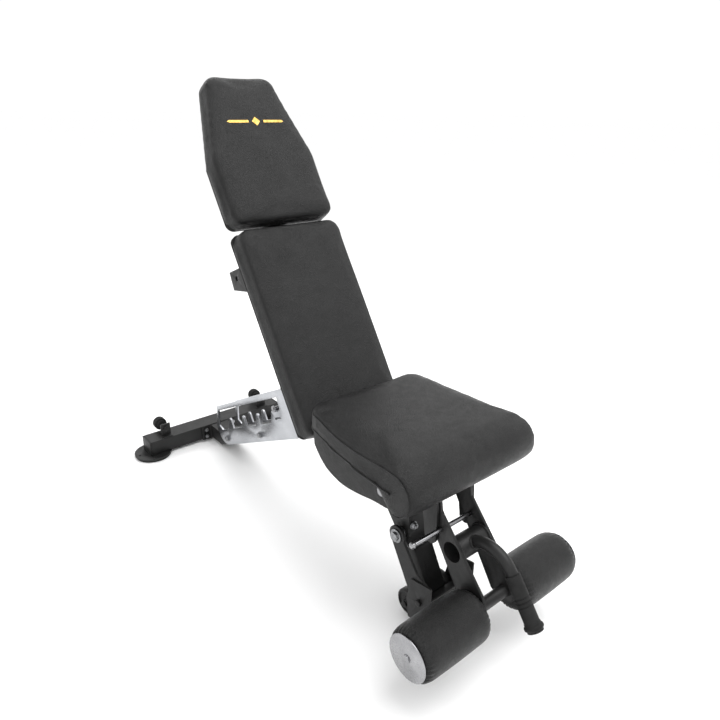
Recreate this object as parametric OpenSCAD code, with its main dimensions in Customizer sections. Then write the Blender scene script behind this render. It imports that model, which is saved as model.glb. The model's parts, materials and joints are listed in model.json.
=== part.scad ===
// Adjustable weight bench: rear stabiliser, sloping beam with a notched ladder, two pads, roller arm.
// Millimetres, +Z up, +Y to the rear, X across; the sitter faces -Y.

/* [Main beam] */
// Slope of the beam and its ladder, degrees
slope = 26.5; // [26:0.25:27]
// Width of the beam across the bench
beam_w = 60; // [58:1:62]
// Depth of the beam tube
beam_h = 44; // [42:1:46]
// Wall of the welded tubes
wall = 3; // [2:0.5:4]
// Top of the level part of the beam under the seat
beam_top = 318; // [316:1:320]
// Rear face of the front bracket, where the beam ends
beam_end = -349; // [-352:1:-346]
// Lower rear corner of the ladder, along the bench
ladder_y = 471; // [469:1:473]
// Lower rear corner of the ladder, above the floor
ladder_z = 29; // [27:1:31]

/* [Rear stabiliser] */
// Middle of the stabiliser, along the bench
stab_y = 610; // [606:1:614]
// Length of the stabiliser across the bench
stab_l = 462; // [420:2:500]
// Depth of the stabiliser tube, front to back
stab_d = 60; // [56:1:64]
// Height of the disc feet under the tube
foot_h = 10; // [9:0.5:12]
// Radius of the disc feet
disc_r = 55; // [50:1:58]
// Spacing of the bumpers across the bench
bumper_x = 171; // [150:1:180]
// Radius of the storage bumpers
bumper_r = 19; // [16:1:22]

/* [Ladder] */
// Thickness of the ladder plates
ladder_t = 5; // [4:0.5:6]
// Length of the ladder plates along the slope
ladder_l = 455; // [440:5:470]
// Height of the solid strip under the teeth
strip_h = 48; // [46:1:50]
// Distance between two teeth
tooth_pitch = 91.6; // [91:0.2:92]
// Height of the tooth tips above the lower edge
tooth_h = 81; // [78:0.5:81]
// Radius of the strut pin that drops between the teeth
pin_r = 6; // [5:0.5:6]

/* [Backrest] */
// Backrest hinge, along the bench
hinge_y = -49; // [-50:0.5:-48]
// Backrest hinge, above the floor
hinge_z = 360; // [359:0.5:361]
// Height of the pad faces above the hinge line
face_h = 77; // [76:0.5:80]
// Thickness of the backrest foam
back_t = 42; // [38:1:46]
// Half width of the backrest pad
back_hw = 142; // [130:1:150]
// Length of the backrest pad
back_l = 493; // [485:1:495]
// Half width of the headrest at its wide end
head_hw = 140; // [130:1:150]
// Half width of the headrest at its top
head_top_hw = 86; // [70:1:100]
// Length of the headrest pad
head_l = 369; // [350:1:380]
// Length of the headrest before it narrows
head_square_l = 167; // [150:1:180]
// Distance of the strut pivot up the backrest
strut_s = 293; // [292:1:294]
// Distance of the strut pivot behind the hinge line
strut_m = 34; // [34:0.5:35]

/* [Seat] */
// Height of the seat surface at its rear edge
seat_z = 438; // [436:1:440]
// Rear edge of the seat pad
seat_rear = -148; // [-150:1:-147]
// Middle of the rounded front lip
lip_y = -438; // [-442:1:-436]
// Radius of the rounded front lip
lip_r = 49; // [44:1:50]
// Half width of the seat at the rear
seat_hw = 155; // [150:1:158]
// Half width of the seat at the front
seat_front_hw = 173; // [168:1:175]
// Seat pivot, along the bench
pivot_y = -165; // [-167:1:-164]
// Seat pivot, above the floor
pivot_z = 335; // [334:1:336]

/* [Front leg] */
// Leg axle, along the bench
axle_y = -337; // [-338:0.5:-336]
// Leg axle, above the floor
axle_z = 190; // [188:1:192]
// Radius of the transport wheels
wheel_r = 30; // [27:1:30]
// Width of the transport wheels
wheel_w = 18; // [14:1:18]

/* [Roller arm] */
// Arm pivot, along the bench
arm_y = -416; // [-417:0.5:-415]
// Arm pivot, above the floor
arm_z = 322; // [321:0.5:323]
// Roller axle, along the bench
roller_y = -542; // [-546:1:-538]
// Roller axle, above the floor
roller_z = 132; // [128:1:136]
// Radius of the foam rollers
roller_r = 54; // [50:1:58]
// Length of a foam roller
roller_l = 171; // [160:1:180]
// Radius of the arm's cross tube
cross_r = 24; // [22:1:25]
// Length of the rubber grip
grip_l = 98; // [94:1:102]

/* [Which piece] */
// Piece to show

/* [Hidden] */
$fn = 64;
hull_fn = 32;
// Running clearance of a turning pin, on the radius
run = 0.05;
eps = 1;
// Overlap that makes two shapes of one piece fuse
tuck = 0.1;
stab_front = stab_y - stab_d / 2;
plate_x = beam_w / 2 + 0.2;
cheek_t = 6;
cheek_x = beam_w / 2;
box_x = 46;
box_t = 5;
web_t = 6;
web_y = beam_end - web_t;
web_z = 150;
leg_x = 56;
leg_t = 6;
arm_x = 40;
arm_t = 6;
rail_x = 48;
rail_t = 6;
side_x = 139;
side_t = 6;
hinge = [hinge_y, hinge_z];
pivot = [pivot_y, pivot_z];
axle = [axle_y, axle_z];
arm_pivot = [arm_y, arm_z];
roller = [roller_y, roller_z];
hinge_r = 8;
bolt_r = 6;
leg_bolt_r = 7;
roller_axle_r = 12.5;
pad_gap = 5;
board_t = 12;
board_in = 4;
corner_r = 18;
pad_end = -54;
spine_w = 50;
spine_front = 17;
spine_back = -13;
seat_under = 378;
rail_top = seat_under - board_t;
cross_at = [-474, 226];
lock_at = [-443, 261];
lock_r = 5;
clamp_at = [-306, 262];
wheel_at = [-371, 32];
wheel_axle_r = 5;
foot_beam = [-440, -404];
foot_bolt_at = [-416, 70];
channel_front = -446;
channel_t = 4;
bend_r = 67;
bend_at = [-527.5, 184];
bend_from = 38;
bend_to = 143;
tube_r = 12;
grip_r = 15;
flange_r = 19;
// Lean of the backrest above level, set by the strut's pin in the front notch
back_angle = 56.8;
ladder_bolt_u = [32.5, 254];
ladder_bolt_v = 20;
flange_t = 6;
flange_bolt = [[-47, 21], [-47, 43], [47, 21], [47, 43]];
disc_x = stab_l / 2 - 16;
disc_y = stab_y - 5;
bumper_y = stab_y - 9;
bumper_z = foot_h + beam_h + 25;
finger_r = 15;
// Rounded end of the plate that the lock pin leans on
finger = [lock_at[0] + lock_r + 0.3 + finger_r, 237];
seat_tubes = [[-205, 350], [-377, 355]];
seat_tube_r = 10;
back_low = face_h - back_t;
head_s = pad_end + back_l + pad_gap;
strap_at = [[60, 110], [250, 110], [400, 110], [510, 110], [690, 70]];
lug_x = 128;
lug_t = 6;

// Unit vector at an angle
function ang(t) = [cos(t), sin(t)];
// Side-view point at (u along the slope, v square to it) from the ladder's lower rear corner
function lad(u, v) = [
  ladder_y - u * cos(slope) + v * sin(slope),
  ladder_z + u * sin(slope) + v * cos(slope)
];
// Where the line v above the ladder's lower edge crosses the height z
function slope_y(v, z) = lad(0, v)[0] + (lad(0, v)[1] - z) / tan(slope);
// Side-view point at (s up the backrest, h towards its face) from the hinge
function bk(s, h) = hinge + s * ang(back_angle) + h * ang(back_angle + 90);
// Side view of the beam, shrunk by w and lengthened by e at both ends
function beam_side(w, e) = [
  [stab_front + e, foot_h + w],
  [slope_y(w, foot_h + w), foot_h + w],
  [slope_y(w, beam_top - beam_h + w), beam_top - beam_h + w],
  [beam_end - e, beam_top - beam_h + w],
  [beam_end - e, beam_top - w],
  [slope_y(beam_h - w, beam_top - w), beam_top - w],
  [slope_y(beam_h - w, foot_h + beam_h - w), foot_h + beam_h - w],
  [stab_front + e, foot_h + beam_h - w]
];
strut_top = bk(strut_s, -strut_m);
strut_foot = lad(382, 86);

// Side-view shape made into a plate that starts at x
module plate(x, t) translate([x, 0, 0]) rotate([90, 0, 90]) linear_extrude(height = t) children();
// Round bar across the bench at a side-view point
module bar(p, x0, x1, r) translate([x0, p[0], p[1]]) rotate([0, 90, 0]) cylinder(h = x1 - x0, r = r);
// Two discs joined by their outer tangents
module belt(a, ra, b, rb) {
  way = atan2(b[1] - a[1], b[0] - a[0]);
  tilt = acos((ra - rb) / norm(b - a));
  spot(a, ra);
  spot(b, rb);
  polygon([
    a + (ra - tuck) * ang(way + tilt),
    b + (rb - tuck) * ang(way + tilt),
    b + (rb - tuck) * ang(way - tilt),
    a + (ra - tuck) * ang(way - tilt)
  ]);
}
module spot(p, r) translate(p) circle(r = r);
// Hexagon bolt head or nut on a bar across the bench
module hex(p, x, t, r) translate([x, p[0], p[1]]) rotate([0, 90, 0]) cylinder(h = t, r = r, $fn = 6);
// Copy on the sitter's right, the -X side
module opposite() mirror([1, 0, 0]) children();
// Both sides at once
module both() {
  children();
  opposite() children();
}
// Frame of the backrest: Y runs up the backrest and Z out of its face
module on_back() translate([0, hinge_y, hinge_z]) rotate([back_angle, 0, 0]) children();

module main_beam() color("#1b1b1d") difference() {
  union() {
    plate(-beam_w / 2, beam_w) polygon(beam_side(0, 0));
    translate([-61, stab_front - flange_t, 7]) cube([122, flange_t, beam_h + 6]);
  }
  plate(-beam_w / 2 + wall, beam_w - 2 * wall) polygon(beam_side(wall, eps));
  for (u = ladder_bolt_u) bar(lad(u, ladder_bolt_v), -beam_w, beam_w, 5);
  for (p = flange_bolt) translate([p[0], stab_front, p[1]]) rotate([90, 0, 0])
    cylinder(h = 2 * flange_t, r = 4);
}

module rear_stabiliser_tube() color("#1b1b1d") difference() {
  length = stab_l - 6;
  translate([-length / 2, stab_front, foot_h]) cube([length, stab_d, beam_h]);
  translate([-length / 2 - eps, stab_front + wall, foot_h + wall])
    cube([length + 2 * eps, stab_d - 2 * wall, beam_h - 2 * wall]);
}
module stabiliser_cap_left() color("#141414") {
  translate([stab_l / 2 - 3, stab_front, foot_h]) cube([3, stab_d, beam_h]);
  translate([stab_l / 2 - 15, stab_front + wall, foot_h + wall])
    cube([12, stab_d - 2 * wall, beam_h - 2 * wall]);
}
module stabiliser_cap_right() opposite() stabiliser_cap_left();

module disc_foot_left() color("#1b1b1d") translate([disc_x, disc_y, 0]) {
  translate([0, 0, foot_h / 2]) cylinder(h = foot_h / 2, r = disc_r);
  for (a = [-75, 0, 75]) rotate([0, 0, a]) translate([disc_r - 12, 0, foot_h - 1])
    cylinder(h = 3.5, r = 3.5);
}
module disc_foot_right() opposite() disc_foot_left();
module disc_foot_rubber_left() color("#0f0f0f") translate([disc_x, disc_y, 0])
  cylinder(h = foot_h / 2, r = disc_r - 3);
module disc_foot_rubber_right() opposite() disc_foot_rubber_left();

module bumper_bracket_left() color("#1b1b1d") translate([bumper_x, bumper_y, 0]) {
  translate([-15, -20, foot_h + beam_h]) cube([30, 20, 4]);
  translate([-15, -5, foot_h + beam_h]) cube([30, 5, 40]);
  translate([0, -5, bumper_z]) rotate([90, 0, 0]) cylinder(h = 7, r = 9, $fn = 6);
  translate([0, 25, bumper_z]) rotate([90, 0, 0]) cylinder(h = 40, r = 5);
}
module bumper_bracket_right() opposite() bumper_bracket_left();
module storage_bumper_left() color("#121212") translate([bumper_x, bumper_y + 25, bumper_z])
  rotate([-90, 0, 0]) rotate_extrude() {
    square([bumper_r - 6, 7]);
    translate([0, 7]) square([bumper_r, 15]);
    translate([0, 22]) square([bumper_r - 10, 10]);
    translate([bumper_r - 10, 22]) intersection() {
      circle(r = 10);
      square(10);
    }
  }
module storage_bumper_right() opposite() storage_bumper_left();

// Outline of a ladder plate, with u to the right and v up
module ladder_outline() {
  tip_r = 7.5;
  window_h = 110;
  difference() {
    union() {
      spot([30, 50], 50);
      polygon([[30, 0], [ladder_l, 0], [ladder_l, 132], [16, 124], [-18.3, 63], [30, 50]]);
    }
    difference() {
      polygon([[13, strip_h], [-4, 64], [20, window_h], [403, window_h + 5], [403, strip_h]]);
      for (i = [0:3]) {
        spot([84.6 + i * tooth_pitch, tooth_h - tip_r], tip_r);
        polygon([
          [84.6 + i * tooth_pitch - 24, strip_h - eps],
          [84.6 + i * tooth_pitch - 6.5, tooth_h - tip_r + 3.7],
          [84.6 + i * tooth_pitch + tip_r, tooth_h - tip_r],
          [84.6 + i * tooth_pitch + tip_r + 2, strip_h - eps]
        ]);
      }
      translate([361, strip_h - eps]) square([60, tooth_h - strip_h - 0.3]);
    }
    translate([366, 56]) square([32, 6]);
    for (u = ladder_bolt_u) spot([u, ladder_bolt_v], 5);
  }
}
module ladder_plate_left() color("#c9cbce") plate(plate_x, ladder_t)
  translate([ladder_y, ladder_z]) mirror([1, 0]) rotate(slope) ladder_outline();
module ladder_plate_right() opposite() ladder_plate_left();
module beam_bolts() color("#b9bbbf") {
  for (u = ladder_bolt_u) {
    bar(lad(u, ladder_bolt_v), -plate_x - ladder_t - 2, plate_x + ladder_t + 2, 5);
    both() bar(lad(u, ladder_bolt_v), plate_x + ladder_t, plate_x + ladder_t + 1.5, 10);
    both() hex(lad(u, ladder_bolt_v), plate_x + ladder_t + 1.5, 6, 8);
  }
  for (p = flange_bolt) translate([p[0], stab_front, p[1]]) rotate([90, 0, 0]) {
    cylinder(h = flange_t + 5, r = 4);
    translate([0, 0, flange_t]) cylinder(h = 5, r = 6.5, $fn = 6);
  }
}

module hinge_cheek_left() color("#1b1b1d") plate(cheek_x, cheek_t) difference() {
  union() {
    spot(hinge, 18);
    translate([hinge_y - 18, beam_top - beam_h]) square([36, hinge_z - beam_top + beam_h]);
    spot(pivot, 15);
    translate([pivot_y - 15, beam_top - beam_h]) square([30, pivot_z - beam_top + beam_h]);
    translate([pivot_y, beam_top - beam_h]) square([hinge_y - pivot_y, beam_h - 8]);
  }
  spot(hinge, hinge_r);
  spot(pivot, bolt_r);
}
module hinge_cheek_right() opposite() hinge_cheek_left();
module pivot_bolts() color("#b9bbbf") {
  bar(hinge, -cheek_x - cheek_t - 4, cheek_x + cheek_t + 4, hinge_r);
  both() hex(hinge, cheek_x + cheek_t, 9, 13);
  bar(pivot, -rail_x - rail_t - 3, rail_x + rail_t + 3, bolt_r);
  both() bar(pivot, cheek_x + cheek_t, rail_x - 0.3, 11);
  both() hex(pivot, rail_x + rail_t + 0.3, 7, 10);
}

module front_bracket() color("#1b1b1d") {
  translate([0, beam_end, 0]) rotate([90, 0, 0]) linear_extrude(height = web_t) {
    translate([-box_x, web_z + 24]) square([2 * box_x, beam_top - web_z - 24]);
    translate([-box_x + 24, web_z]) square([2 * box_x - 48, 25]);
    for (x = [-1, 1]) spot([x * (box_x - 24), web_z + 24], 24);
  }
  both() difference() {
    union() {
      plate(box_x - box_t, box_t) {
        spot(axle, 20);
        polygon([
          [beam_end, axle_z],
          [axle_y + 20, axle_z],
          [beam_end + 84, 252],
          [beam_end + 84, beam_top],
          [beam_end, beam_top]
        ]);
      }
      translate([beam_w / 2, beam_end, beam_top - beam_h]) cube([box_x - beam_w / 2, 84, beam_h]);
    }
    bar(axle, 0, box_x + eps, leg_bolt_r);
    bar(clamp_at, 0, box_x + eps, 5 + run);
  }
}
module bracket_bolts() color("#b9bbbf") both() translate([33, web_y, 214]) rotate([90, 0, 0]) {
  cylinder(h = 2, r = 9);
  translate([0, 0, 2]) cylinder(h = 6, r = 7.5, $fn = 6);
  translate([0, 0, 8]) cylinder(h = 3, r = 4);
}
module leg_axle_bolt() color("#9a9ca0") {
  bar(axle, -leg_x - leg_t - 3, leg_x + leg_t + 3, leg_bolt_r);
  both() bar(axle, box_x, leg_x - 0.3, 14);
  both() bar(axle, leg_x + leg_t + 0.3, leg_x + leg_t + 3, 15);
  both() bar(axle, leg_x + leg_t + 3, leg_x + leg_t + 9, 10);
}
module seat_clamp_knob() color("#141414") {
  bar(clamp_at, box_x - box_t - 6, 62, 5);
  bar(clamp_at, box_x - box_t - 6, box_x - box_t - 0.3, 9);
  bar(clamp_at, rail_x + rail_t + 0.4, 62, 12);
  bar(clamp_at, 62, 76, 17);
  for (a = [0:60:300]) bar(clamp_at + 16 * ang(a), 62, 76, 7);
}

module leg_plate_left() color("#1b1b1d") plate(leg_x, leg_t) difference() {
  union() {
    spot(axle, 22);
    spot(wheel_at, 9);
    polygon([
      axle + [21, -6],
      [-380, 76],
      wheel_at + [-1, 8],
      wheel_at + [-3, -8],
      [-392, 12],
      [foot_beam[0], 12],
      [foot_beam[0], 112],
      [-400, 131],
      axle + [-21, -6]
    ]);
  }
  spot(axle, leg_bolt_r + run);
  spot(wheel_at, wheel_axle_r);
  spot(foot_bolt_at, 5);
}
module leg_plate_right() opposite() leg_plate_left();
module leg_post() color("#1b1b1d") difference() {
  plate(-25, 50) {
    spot(axle, 10);
    polygon([
      [axle_y - 10 + tuck, axle_z],
      [axle_y - 10 + tuck, 149],
      [-358, 146],
      [foot_beam[1], 62],
      [foot_beam[1], 40],
      [-382, 40],
      [-324, 136],
      [axle_y + 10 - tuck, axle_z]
    ]);
  }
  plate(-25 + wall, 50 - 2 * wall) polygon([
    [-346, 146],
    [-356, 142],
    [foot_beam[1] + wall, 60],
    [foot_beam[1] + wall, 30],
    [-300, 30],
    [-300, 146]
  ]);
  bar(axle, -30, 30, leg_bolt_r + run);
}
module front_foot_tube() color("#1b1b1d") difference() {
  depth = foot_beam[1] - foot_beam[0];
  translate([-leg_x, foot_beam[0], 10]) cube([2 * leg_x, depth, 48]);
  translate([-leg_x - eps, foot_beam[0] + wall, 10 + wall])
    cube([2 * leg_x + 2 * eps, depth - 2 * wall, 48 - 2 * wall]);
}
// Folded plate that wraps the foot and is bolted to the leg plates
module front_foot_channel() color("#1b1b1d") {
  side_at = leg_x + leg_t;
  both() plate(side_at, channel_t) difference() {
    polygon([
      [channel_front, 12],
      [-386, 12],
      [-380, 62],
      [-389, 114],
      [channel_front + channel_t, 124],
      [channel_front, 124]
    ]);
    spot(foot_bolt_at, 5);
  }
  translate([-side_at - eps, channel_front, 12]) cube([2 * side_at + 2 * eps, channel_t, 80]);
}
module foot_bolts() color("#b9bbbf") both() {
  bar(foot_bolt_at, leg_x - 4, leg_x + leg_t + channel_t + 2, 5);
  hex(foot_bolt_at, leg_x + leg_t + channel_t, 5, 7.5);
  hex(foot_bolt_at, leg_x - 6, 6, 7.5);
}
module front_foot_pads() color("#0f0f0f") both() translate([36, (foot_beam[0] + foot_beam[1]) / 2, 0]) {
  cylinder(h = 5, r = 14);
  translate([0, 0, 5]) cylinder(h = 5, r = 11);
}
module wheel_axle() color("#9a9ca0") {
  bar(wheel_at, -leg_x - leg_t - 2, leg_x + leg_t + 2, wheel_axle_r);
  both() bar(wheel_at, leg_x + leg_t, leg_x + leg_t + 3, 7);
  both() bar(wheel_at, leg_x - wheel_w - 6, leg_x - wheel_w - 1.5, 9);
}
module wheel_left() color("#161616") translate([leg_x - 0.7 - wheel_w, wheel_at[0], wheel_at[1]])
  rotate([0, 90, 0]) rotate_extrude() difference() {
    translate([wheel_axle_r + run, 0]) square([wheel_r - wheel_axle_r - run, wheel_w]);
    translate([12, -eps]) square([wheel_r - 18, 3 + eps]);
    translate([12, wheel_w - 3]) square([wheel_r - 18, 3 + eps]);
    translate([wheel_r - 2, -eps]) square([3, 2 + eps]);
    translate([wheel_r - 2, wheel_w - 2]) square([3, 3]);
  }
module wheel_right() opposite() wheel_left();

module seat_pad() color("#19191a") {
  tall = seat_z - seat_under;
  hull() for (x = [-1, 1]) {
    translate([x * (seat_hw - 32), seat_rear - 32, seat_under]) {
      translate([0, 0, 4]) cylinder(h = tall - 16, r = 32, $fn = hull_fn);
      cylinder(h = tall, r = 24, $fn = hull_fn);
    }
    translate([x * (seat_front_hw - 16), -270, seat_under]) cylinder(h = tall - 8, r = 14, $fn = hull_fn);
    translate([x * (seat_front_hw - 14), lip_y, seat_z - 5]) sphere(r = 14, $fn = hull_fn);
    translate([x * (seat_front_hw - 7), lip_y, seat_under + 6]) sphere(r = 6, $fn = hull_fn);
  }
  hull() {
    bar([lip_y, seat_z + 10 - lip_r], -seat_front_hw + 12, seat_front_hw - 12, lip_r, $fn = hull_fn);
    bar([lip_y, seat_z + 10 - lip_r], -seat_front_hw, seat_front_hw, lip_r - 12, $fn = hull_fn);
  }
}
module seat_board() color("#2a2320") translate([-138, lip_y + lip_r + 2, rail_top])
  cube([276, seat_rear - 8 - lip_y - lip_r - 2, board_t]);
module seat_rail_plate() {
  spot(pivot, 16);
  polygon([
    [pivot_y - 16, rail_top - 32],
    [pivot_y + 16, pivot_z],
    [pivot_y + 10, rail_top],
    [lip_y + lip_r + 4, rail_top],
    [arm_y - 17, arm_z + 6],
    [arm_y - 20, arm_z - 15],
    [finger[0] - finger_r + tuck, lock_at[1] + 14],
    [finger[0] - finger_r + tuck, finger[1]],
    [finger[0] + finger_r - tuck, finger[1]],
    [arm_y + 24, arm_z + 6]
  ]);
  spot(finger, finger_r);
  spot(arm_pivot, 18);
}
// Slotted arc under the seat that the clamp knob grips
module seat_arc() {
  reach = norm(clamp_at - pivot);
  from = atan2(clamp_at[1] - pivot[1], clamp_at[0] - pivot[0]);
  to = from + 16;
  intersection() {
    difference() {
      spot(pivot, reach + 14);
      spot(pivot, reach - 14);
    }
    polygon([pivot, pivot + 300 * ang(from - 26), pivot + 300 * ang(from - 4), pivot + 300 * ang(to)]);
  }
  spot(pivot + reach * ang(to), 14 - tuck);
}
module seat_arc_slot() {
  reach = norm(clamp_at - pivot);
  from = atan2(clamp_at[1] - pivot[1], clamp_at[0] - pivot[0]);
  to = from + 16;
  intersection() {
    difference() {
      spot(pivot, reach + 5.4);
      spot(pivot, reach - 5.4);
    }
    polygon([pivot, pivot + 300 * ang(from), pivot + 300 * ang(to)]);
  }
  spot(clamp_at, 5.4 - tuck);
  spot(pivot + reach * ang(to), 5.4 - tuck);
}
module seat_rail_left() color("#1b1b1d") plate(rail_x, rail_t) difference() {
  union() {
    seat_rail_plate();
    seat_arc();
  }
  seat_rail_holes();
  seat_arc_slot();
}
module seat_rail_right() color("#1b1b1d") opposite() plate(rail_x, rail_t) difference() {
  seat_rail_plate();
  seat_rail_holes();
}
module seat_rail_holes() {
  spot(pivot, bolt_r + run);
  spot(arm_pivot, bolt_r);
  for (p = seat_tubes) spot(p, seat_tube_r);
}
module seat_side_plate_left() color("#1d1d1f") plate(side_x, side_t) difference() {
  belt([-250, 400], 91, [-348, 372], 42);
  translate([-500, seat_under]) square([500, 300]);
  spot(seat_tubes[1], 5);
}
module seat_side_plate_right() opposite() seat_side_plate_left();
module seat_cross_tubes() color("#1b1b1d") for (p = seat_tubes) difference() {
  bar(p, -side_x, side_x, seat_tube_r);
  both() bar(p, side_x - 20, side_x + eps, 5);
}
module seat_side_bolts() color("#d0d2d5") both() {
  bar(seat_tubes[1], side_x - 18, side_x + side_t, 5);
  bar(seat_tubes[1], side_x + side_t, side_x + side_t + 3, 9);
  bar(seat_tubes[1], side_x + side_t + 3, side_x + side_t + 5, 6.5);
}

module arm_pivot_bolt() color("#9a9ca0") {
  bar(arm_pivot, -rail_x - rail_t - 2, rail_x + rail_t + 2, bolt_r);
  both() bar(arm_pivot, arm_x + arm_t + 0.3, rail_x, 10);
  both() hex(arm_pivot, rail_x + rail_t, 6, 10);
}
module arm_plate_left() color("#1b1b1d") plate(arm_x, arm_t) difference() {
  union() {
    spot(arm_pivot, 20);
    polygon([
      [arm_y + 20 - tuck, arm_z],
      [arm_y + 20, arm_z - 32],
      [roller_y + 30, roller_z - 12],
      roller + (26 - tuck) * ang(-80),
      roller + (26 - tuck) * ang(160),
      [roller_y - 14, roller_z + 40],
      [arm_y - 24, arm_z - 22],
      [arm_y - 20 + tuck, arm_z]
    ]);
    spot(roller, 26);
  }
  spot(arm_pivot, bolt_r + run);
  spot(cross_at, cross_r - wall);
  spot(lock_at, lock_r + run);
  spot(roller, roller_axle_r);
}
module arm_plate_right() opposite() arm_plate_left();
module arm_cross_tube() color("#1b1b1d") difference() {
  bar(cross_at, -arm_x, arm_x, cross_r);
  bar(cross_at, -arm_x - eps, arm_x + eps, cross_r - wall);
}
module roller_axle() color("#1b1b1d") {
  bar(roller, -50 - roller_l + 3, 50 + roller_l - 3, roller_axle_r);
  both() bar(roller, arm_x + arm_t, arm_x + arm_t + 3.5, 19);
}
// Side-view plane turned about the bend's middle, with X out along the radius
module at_bend(a) translate([0, bend_at[0], bend_at[1]]) rotate([90, 0, 90]) rotate([0, 0, a]) children();
// Straight part of the handle, from the end of the bend
module along_grip() at_bend(bend_to) translate([bend_r, 0, 0]) rotate([-90, 0, 0]) children();
module handle_tube() color("#1b1b1d") difference() {
  union() {
    at_bend(bend_from) rotate_extrude(angle = bend_to - bend_from) translate([bend_r, 0]) circle(r = tube_r);
    along_grip() cylinder(h = grip_l - 2, r = tube_r);
  }
  bar(cross_at, -arm_x, arm_x, cross_r);
}
module handle_grip() color("#101010") along_grip() translate([0, 0, 4]) rotate_extrude() difference() {
  union() {
    translate([tube_r, 0]) square([grip_r - tube_r, grip_l - 6]);
    translate([0, grip_l - 6]) square([flange_r - 3, 14]);
    translate([tube_r, grip_l - 8]) square([flange_r - 3 - tube_r, 8]);
    translate([flange_r - 5, grip_l]) circle(r = 5);
  }
  for (i = [0:2]) translate([grip_r, 42 + i * 8]) circle(r = 1.5);
}

module roller_foam_left() color("#18181a") translate([50, roller_y, roller_z]) rotate([0, 90, 0])
  rotate_extrude() difference() {
    union() {
      translate([roller_axle_r + 0.08, 0]) square([roller_r - 18 - roller_axle_r, roller_l]);
      translate([roller_axle_r + 10, 16]) square([roller_r - roller_axle_r - 10, roller_l - 32]);
      translate([roller_r - 16, 16]) circle(r = 16);
      translate([roller_r - 16, roller_l - 16]) circle(r = 16);
    }
    translate([0, roller_l - 2]) square([roller_r - 18, 3]);
  }
module roller_foam_right() opposite() roller_foam_left();
module roller_end_cap_left() color("#d0d2d5") translate([50 + roller_l - 2, roller_y, roller_z])
  rotate([0, 90, 0]) {
    cylinder(h = 3, r = roller_r - 18);
    translate([0, 0, 3]) cylinder(h = 1.5, r = roller_r - 9);
    translate([0, 0, 4.5]) cylinder(h = 3, r = 8);
  }
module roller_end_cap_right() opposite() roller_end_cap_left();
module arm_lock_pin() color("#d0d2d5") {
  bar(lock_at, -118, rail_x + rail_t + 6, lock_r);
  translate([-122, lock_at[0], lock_at[1]]) sphere(r = 7);
}

// Rounded cushion: corner points, corner radius, underside and face heights
module cushion(corners, r, low, high) hull() for (p = corners) translate([p[0], p[1], 0]) {
  translate([0, 0, low + 8]) cylinder(h = high - low - 22, r = r, $fn = hull_fn);
  translate([0, 0, low]) cylinder(h = high - low, r = r - 10, $fn = hull_fn);
  translate([0, 0, low + 3]) cylinder(h = high - low - 7, r = r - 3.5, $fn = hull_fn);
}
// Corner centres of a mirrored outline given as half widths and lengths up the backrest
function corners(list, r) = [for (x = [-1, 1]) for (p = list) [x * (p[0] - r), p[1]]];
module backrest_pad() color("#19191a") on_back()
  cushion(corners([[back_hw, pad_end + 20], [back_hw, pad_end + back_l - 20]], 20), 20, back_low, face_h);
module headrest_pad() color("#19191a") on_back() cushion(
  corners([
    [head_hw, head_s + 20],
    [head_hw, head_s + head_square_l - 8],
    [head_top_hw, head_s + head_l - 20]
  ], 20), 20, back_low, face_h + 2);
// Plate on the back of a pad: flat outline with its sharp corners cut off by a radius
module round_rect(x0, y0, x1, y1, r) {
  translate([x0 + r, y0]) square([x1 - x0 - 2 * r, y1 - y0]);
  translate([x0, y0 + r]) square([x1 - x0, y1 - y0 - 2 * r]);
  for (x = [x0 + r, x1 - r]) for (y = [y0 + r, y1 - r]) spot([x, y], r);
}
module backrest_board() color("#2a2320") on_back() translate([0, 0, back_low - board_t])
  linear_extrude(height = board_t) round_rect(
    -back_hw + board_in, pad_end + board_in, back_hw - board_in, pad_end + back_l - board_in, corner_r);
module headrest_board() color("#2a2320") on_back() translate([0, 0, back_low - board_t])
  linear_extrude(height = board_t) {
    round_rect(
      -head_hw + board_in, head_s + board_in, head_hw - board_in, head_s + head_square_l - 12, corner_r);
    polygon([
      [-head_hw + board_in, head_s + 50],
      [head_hw - board_in, head_s + 50],
      [head_hw - board_in, head_s + head_square_l - 12],
      [head_top_hw - 12, head_s + head_l - board_in],
      [-head_top_hw + 12, head_s + head_l - board_in],
      [-head_hw + board_in, head_s + head_square_l - 12]
    ]);
  }
module backrest_frame() color("#1b1b1d") on_back() difference() {
  union() {
    translate([-spine_w / 2, 0, spine_back]) cube([spine_w, 730, spine_front - spine_back]);
    for (p = strap_at) translate([-p[1], p[0] - 20, spine_front])
      cube([2 * p[1], 40, back_low - board_t - spine_front]);
    rotate([0, 90, 0]) translate([0, 0, -cheek_x + 0.4]) cylinder(h = 2 * cheek_x - 0.8, r = 16);
    translate([-lug_x, 318, -8]) cube([2 * lug_x, 25, 25]);
    both() plate(lug_x, lug_t) difference() {
      polygon([[305, 19], [364, 19], [373, -34], [331, -41]]);
      spot([349, -10], 6);
    }
    both() plate(13.5, lug_t) {
      spot([strut_s, -strut_m], 12);
      polygon([
        [strut_s - 20, spine_back],
        [strut_s - 12, -strut_m],
        [strut_s + 12, -strut_m],
        [strut_s + 20, spine_back]
      ]);
    }
  }
  translate([-spine_w / 2 + wall, 20, spine_back + wall])
    cube([spine_w - 2 * wall, 730, spine_front - spine_back - 2 * wall]);
  bar([0, 0], -cheek_x, cheek_x, hinge_r + run);
  bar([strut_s, -strut_m], -spine_w, spine_w, bolt_r);
}
module strut_pivot_bolt() color("#9a9ca0") on_back() {
  bar([strut_s, -strut_m], -22, 22, bolt_r);
  both() hex([strut_s, -strut_m], 19.5, 5, 9);
}
module support_strut() color("#1b1b1d") plate(-12.5, 25) difference() {
  belt(strut_top, 12, strut_foot, 12);
  spot(strut_top, bolt_r + run);
  spot(strut_foot, pin_r);
}
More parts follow.
